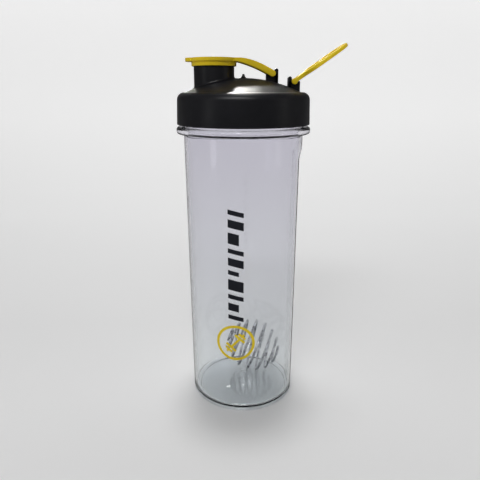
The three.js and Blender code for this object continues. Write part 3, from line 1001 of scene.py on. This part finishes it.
def make_carry_loop():
    """The flat loop with its finger hole, two tines and two stub pins, tilted on its hinge."""
    tip = LOOP_LENGTH
    side = LOOP_HALF
    hole = side - LOOP_BAR
    waist = LOOP_HUB + 3 * MM
    wide = LOOP_FLARE - 4 * MM
    outer = rounded(
        [
            (LOOP_HUB, 0, 0),
            (LOOP_HUB, ARM_HALF, 0.6 * MM),
            (waist, ARM_HALF, 6 * MM),
            (wide, side, 9 * MM),
            (tip, side, LOOP_CORNER),
            (tip, -side, LOOP_CORNER),
            (wide, -side, 9 * MM),
            (waist, -ARM_HALF, 6 * MM),
            (LOOP_HUB, -ARM_HALF, 0.6 * MM),
        ],
        steps=10,
    )
    near, far = LOOP_HOLE_START, tip - LOOP_BAR
    inner = rounded(
        [
            (near, 0, 0),
            (near, hole, LOOP_HOLE_CORNER),
            (far, hole, LOOP_HOLE_CORNER),
            (far, -hole, LOOP_HOLE_CORNER),
            (near, -hole, LOOP_HOLE_CORNER),
        ],
        steps=10,
    )
    half = LOOP_THICK / 2
    ring = ring_slab(evenly(outer, 160), evenly(inner, 160), -half, half)
    soften(ring, 1.0 * MM, segments=4, over=60)
    origin = Vector((0, 0, 0))
    tine_length = LOOP_HUB + 2 * MM
    tine_edge = 0.45 * MM
    steps = []
    for sign in (-1, 1):
        low, high = sorted((sign * TINE_INNER, sign * ARM_HALF))
        end = soften(rod(BARREL, origin, low, high, sides=40), tine_edge)
        tine = [(0, -half), (tine_length, -half), (tine_length, half), (0, half)]
        bar = soften(slab(tine, low, high, plane="XZ"), tine_edge)
        steps += [("UNION", end), ("UNION", bar), ("UNION", stub_pin(origin, sign))]
    bm = combined(ring, steps)
    turn = Matrix.Rotation(-LOOP_ANGLE, 4, "Y")
    bmesh.ops.transform(bm, matrix=Matrix.Translation(LOOP_PIN) @ turn, verts=bm.verts)
    return finish_mesh("carry_loop_moulding", bm, YELLOW, smooth_under=40)


# ---------------------------------------------------------------- whisk ball


def make_whisk():
    """One wire wound into a ball, swept along its centreline."""
    sides, per_turn = 14, 48
    count = BALL_TURNS * per_turn
    up = Vector((0, 0, 1))
    turn = up.rotation_difference(BALL_AXIS)
    points = []
    for i in range(count + 1):
        along = 2 * i / count - 1
        reach = math.sin(along * math.pi * BALL_WOUND / 2)
        radius = BALL_RADIUS * math.sqrt(1 - reach * reach)
        angle = -along * BALL_TURNS * math.pi
        across = (radius * math.cos(angle), radius * math.sin(angle))
        points.append(turn @ Vector((*across, reach * BALL_HALF_LENGTH)))
    lowest = Vector([min(p[k] for p in points) for k in range(3)])
    highest = Vector([max(p[k] for p in points) for k in range(3)])
    shift = BALL_CENTRE - (lowest + highest) / 2
    bm = bmesh.new()
    circle = bmesh.ops.create_circle(bm, cap_ends=True, segments=sides, radius=WIRE / 2)
    heading = (points[1] - points[0]).normalized()
    aimed = up.rotation_difference(heading).to_matrix().to_4x4()
    place = Matrix.Translation(points[0] + shift) @ aimed
    bmesh.ops.transform(bm, matrix=place, verts=circle["verts"])
    face = bm.faces[:][0]
    beyond = 2 * points[-1] - points[-2]
    for here, ahead in zip(points[1:], [*points[2:], beyond]):
        grown = bmesh.ops.extrude_discrete_faces(bm, faces=[face])["faces"][0]
        new_heading = (ahead - here).normalized()
        swing = heading.rotation_difference(new_heading).to_matrix().to_4x4()
        face_centre = grown.calc_center_median()
        move = Matrix.Translation(here + shift) @ swing @ Matrix.Translation(-face_centre)
        bmesh.ops.transform(bm, matrix=move, verts=grown.verts[:])
        heading, face = new_heading, grown
    bmesh.ops.remove_doubles(bm, verts=bm.verts, dist=1e-7)
    bmesh.ops.recalc_face_normals(bm, faces=bm.faces)
    return finish_mesh("whisk_wire", bm, STEEL, smooth_under=50)


# ---------------------------------------------------------------- print on the cup


def wrapped(outline, name, material, hole=None):
    """A thin printed patch: an outline in (across, up) wrapped onto the cup's front."""
    thick, lift, strip = 0.06 * MM, 0.03 * MM, 1.2 * MM
    bm = ring_slab(outline, hole, 0, thick) if hole else slab(outline, 0, thick)
    across = [vert.co.x for vert in bm.verts]
    cut_across(bm, min(across) + strip, max(across), strip, 1e-8)
    for vert in bm.verts:
        s, up, out = vert.co
        radius = side_radius(up) + lift + out
        angle = s / side_radius(up)
        vert.co = (AXIS + radius * math.sin(angle), -radius * math.cos(angle), up)
    bmesh.ops.recalc_face_normals(bm, faces=bm.faces)
    return finish_mesh(name, bm, material)


def make_print():
    """A column of slanted bars over a round badge with a dumbbell, with no lettering."""
    pieces = []
    run = [BAR_SHORT, BAR_MIDDLE, BAR_SHORT, BAR_TALL]
    up = BAR_BOTTOM
    for i, height in enumerate([*run, *run, BAR_MIDDLE, BAR_SHORT]):
        tall = height * MM
        inset = BAR_INSET if i % 3 == 1 else 0.0
        right = BAR_RIGHT - inset
        drop = inset * BAR_SLANT / (BAR_RIGHT - BAR_LEFT)
        outline = [
            Vector((BAR_LEFT, up + BAR_SLANT)),
            Vector((right, up + drop)),
            Vector((right, up + tall + drop)),
            Vector((BAR_LEFT, up + tall + BAR_SLANT)),
        ]
        pieces.append(wrapped(outline, f"print_bar_{i + 1}", BLACK_INK))
        up += tall + BAR_GAP
    angles = [TAU * i / 96 for i in range(96)]
    around = [Vector((math.cos(angle), math.sin(angle))) for angle in angles]
    outer = [BADGE_CENTRE + point * BADGE_OUTER * MM for point in around]
    inner = [BADGE_CENTRE + point * BADGE_INNER * MM for point in around]
    pieces.append(wrapped(outer, "badge_ring", YELLOW_INK, hole=inner))
    tilt = Matrix.Rotation(BADGE_TILT, 2)
    for name, half, low, high in (
        ("badge_handle", 0.9, -5.0, 5.0),
        ("badge_plate_low", 4.6, -5.6, -3.7),
        ("badge_plate_high", 4.6, 3.7, 5.6),
        ("badge_end_low", 3.2, -8.0, -6.2),
        ("badge_end_high", 3.2, 6.2, 8.0),
        ("badge_tip_low", 0.9, -9.4, -8.0),
        ("badge_tip_high", 0.9, 8.0, 9.4),
    ):
        corners = [(-half, low), (half, low), (half, high), (-half, high)]
        turned = [BADGE_CENTRE + tilt @ Vector(corner) * MM for corner in corners]
        box = rounded([(*corner, BADGE_CORNER) for corner in turned], steps=3)
        pieces.append(wrapped(box, name, YELLOW_INK))
    return pieces


# ---------------------------------------------------------------- stage, light and camera


def seen_in_gloss(tree):
    """1 for a ray mirrored by a glossy surface and 0 for any other."""
    path = add_node(tree, "LightPath")
    mirrored = add_node(tree, "Math", {"operation": "SUBTRACT", "use_clamp": True})
    tree.links.new(path.outputs["Is Glossy Ray"], mirrored.inputs[0])
    tree.links.new(path.outputs["Is Transmission Ray"], mirrored.inputs[1])
    return mirrored.outputs["Value"]


def make_stage():
    """A pale floor that sweeps up into a backdrop with a painted glow of light, and is painted dim
    where gloss mirrors it.
    """
    material, tree, shader = new_material("pale_floor")
    link = tree.links.new
    place = add_node(tree, "TexCoord")
    soft = add_node(tree, "TexNoise", Scale=3.0, Detail=2.0)
    link(place.outputs["Object"], soft.inputs["Vector"])
    # Painted shade in reflections: where gloss mirrors the floor, its colour falls to 0.16 and its
    # glow to 0.02.
    mirrored = seen_in_gloss(tree)
    shade = add_node(tree, "MapRange", To_Min=0.79, To_Max=0.81)
    link(soft.outputs["Fac"], shade.inputs["Value"])
    flagged = add_node(tree, "MapRange", To_Max=0.16)
    link(mirrored, flagged.inputs["Value"])
    link(shade.outputs["Result"], flagged.inputs["To Min"])
    link(flagged.outputs["Result"], shader.inputs["Base Color"])
    # Painted light: the floor and backdrop glow more towards the back and the top, in place of a
    # lamp's light on the backdrop.
    where = add_node(tree, "SeparateXYZ")
    link(place.outputs["Object"], where.inputs["Vector"])
    back = add_node(tree, "Math", {"operation": "ADD"})
    link(where.outputs["Y"], back.inputs[0])
    link(where.outputs["Z"], back.inputs[1])
    glow = add_node(tree, "MapRange", From_Min=0.1, From_Max=2.3, To_Max=BACKDROP_PAINTED_GLOW)
    link(back.outputs["Value"], glow.inputs["Value"])
    dimmed = add_node(tree, "MapRange", To_Max=0.02)
    link(mirrored, dimmed.inputs["Value"])
    link(glow.outputs["Result"], dimmed.inputs["To Min"])
    link(dimmed.outputs["Result"], shader.inputs["Emission Color"])
    shader.inputs["Emission Strength"].default_value = 1.0
    shader.inputs["Roughness"].default_value = 0.8
    shader.inputs["Specular IOR Level"].default_value = 0.1
    bm = bmesh.new()
    corners = [
        (-FLOOR_REACH, FLOOR_LEVEL, 0),
        (BACKDROP_AT, FLOOR_LEVEL, 1.2),
        (BACKDROP_AT, BACKDROP_TOP, 0),
    ]
    profile = rounded(corners, closed=False, steps=32)
    verts = [bm.verts.new((-FLOOR_REACH, y, z)) for y, z in profile]
    edges = [bm.edges.new(pair) for pair in zip(verts, verts[1:])]
    grown = bmesh.ops.extrude_edge_only(bm, edges=edges)
    moved = [item for item in grown["geom"] if isinstance(item, bmesh.types.BMVert)]
    bmesh.ops.translate(bm, verts=moved, vec=(2 * FLOOR_REACH, 0, 0))
    bmesh.ops.recalc_face_normals(bm, faces=bm.faces)
    floor = finish_mesh("studio_floor", bm, material)


def area_light(name, place, target, size, power, colour=(1, 1, 1), spread=180):
    """A rectangular lamp aimed at a target; spread is its beam in degrees."""
    lamp = bpy.data.lights.new(name, "AREA")
    lamp.shape = "RECTANGLE"
    lamp.size, lamp.size_y = size
    lamp.energy = power
    lamp.color = colour
    lamp.spread = math.radians(spread)
    holder = bpy.data.objects.new(name, lamp)
    holder.location = place
    holder.rotation_euler = (Vector(target) - Vector(place)).to_track_quat("-Z", "Y").to_euler()
    bpy.context.scene.collection.objects.link(holder)


def sun_light(name, direction, spread, strength):
    """Even light from far away; direction is towards the lamp, spread its size in degrees."""
    lamp = bpy.data.lights.new(name, "SUN")
    lamp.angle = math.radians(spread)
    lamp.energy = strength
    holder = bpy.data.objects.new(name, lamp)
    holder.rotation_euler = Vector(direction).to_track_quat("Z", "Y").to_euler()
    bpy.context.scene.collection.objects.link(holder)


def make_world():
    """A pale room: bright behind the bottle, softer as light on it, and dim in its gloss."""
    world = bpy.data.worlds.new("studio")
    world.use_nodes = True
    tree = world.node_tree
    background = tree.nodes["Background"]
    background.inputs["Color"].default_value = (1.0, 1.0, 1.0, 1)
    path = add_node(tree, "LightPath")
    looked_at = add_node(tree, "Math", {"operation": "MAXIMUM"})
    tree.links.new(path.outputs["Is Camera Ray"], looked_at.inputs[0])
    tree.links.new(path.outputs["Is Transmission Ray"], looked_at.inputs[1])
    seen = add_node(tree, "MapRange", To_Min=0.13, To_Max=0.68)
    tree.links.new(looked_at.outputs["Value"], seen.inputs["Value"])
    flagged = add_node(tree, "MapRange", To_Max=0.15)
    tree.links.new(seen_in_gloss(tree), flagged.inputs["Value"])
    tree.links.new(seen.outputs["Result"], flagged.inputs["To Min"])
    tree.links.new(flagged.outputs["Result"], background.inputs["Strength"])
    bpy.context.scene.world = world


def make_light():
    """Overhead light, narrow lamps for the dome's gleam and the floor's glints, and soft fills."""
    middle = (AXIS, 0, 0.13)
    top = (AXIS, -0.02, DOME_TOP)
    foot = (AXIS, 0, 0)
    warm = (1.0, 0.98, 0.92)
    sun_light("overhead", (0.0, 0.12, 1.0), 11, 0.92)
    area_light("dome_glow", (-0.05, 0.85, 0.90), top, (0.14, 0.10), 0.030, warm, spread=5)
    area_light("dome_glow_left", (-0.22, 0.83, 0.86), top, (0.10, 0.08), 0.012, warm, spread=5)
    area_light("glint", (0.0, 0.85, 0.84), foot, (0.022, 0.02), 0.001, warm, spread=10)
    area_light("glint_left", (-0.17, 0.83, 0.84), foot, (0.022, 0.02), 0.0009, warm, spread=10)
    area_light("front_fill", (-0.25, -1.0, 1.15), top, (1.1, 0.25), 1.15, spread=60)
    area_light("left_strip", (-0.9, -0.55, 0.35), middle, (0.25, 0.9), 0.45)
    area_light("right_strip", (0.95, -0.35, 0.35), middle, (0.25, 0.9), 0.3, warm)


def make_camera():
    """Just in front of the bottle and a little below its top, looking slightly down."""
    camera = bpy.data.cameras.new("view")
    camera.sensor_width = 36.0
    camera.lens = 35.3
    camera.clip_start = 0.01
    holder = bpy.data.objects.new("view", camera)
    holder.location = (AXIS - 2.3 * MM, -338.7 * MM, 231.0 * MM)
    holder.rotation_euler = (math.radians(90 - CAMERA_DOWN), 0, 0)
    bpy.context.scene.collection.objects.link(holder)
    bpy.context.scene.camera = holder


# ---------------------------------------------------------------- the bottle

bpy.context.scene.view_settings.view_transform = "Standard"
make_camera()
make_world()
make_light()
make_stage()

for made, body, replaced, finish in (
    (make_cup(), "cup", "cup", "clear_plastic"),
    (make_lid(), "lid", "lid", "black_plastic"),
    (make_gasket(), "lid_gasket", "lid_gasket", "seal_silicone"),
    (make_flip_cap(), "flip_cap", "flip_cap", "yellow_plastic"),
    (make_carry_loop(), "carry_loop", "carry_loop", "yellow_plastic"),
    (make_whisk(), "whisk_ball", "whisk_ball", "wire_steel"),
):
    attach(made, body)
    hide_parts(replaced)

for printed in make_print():
    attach(printed, "cup")
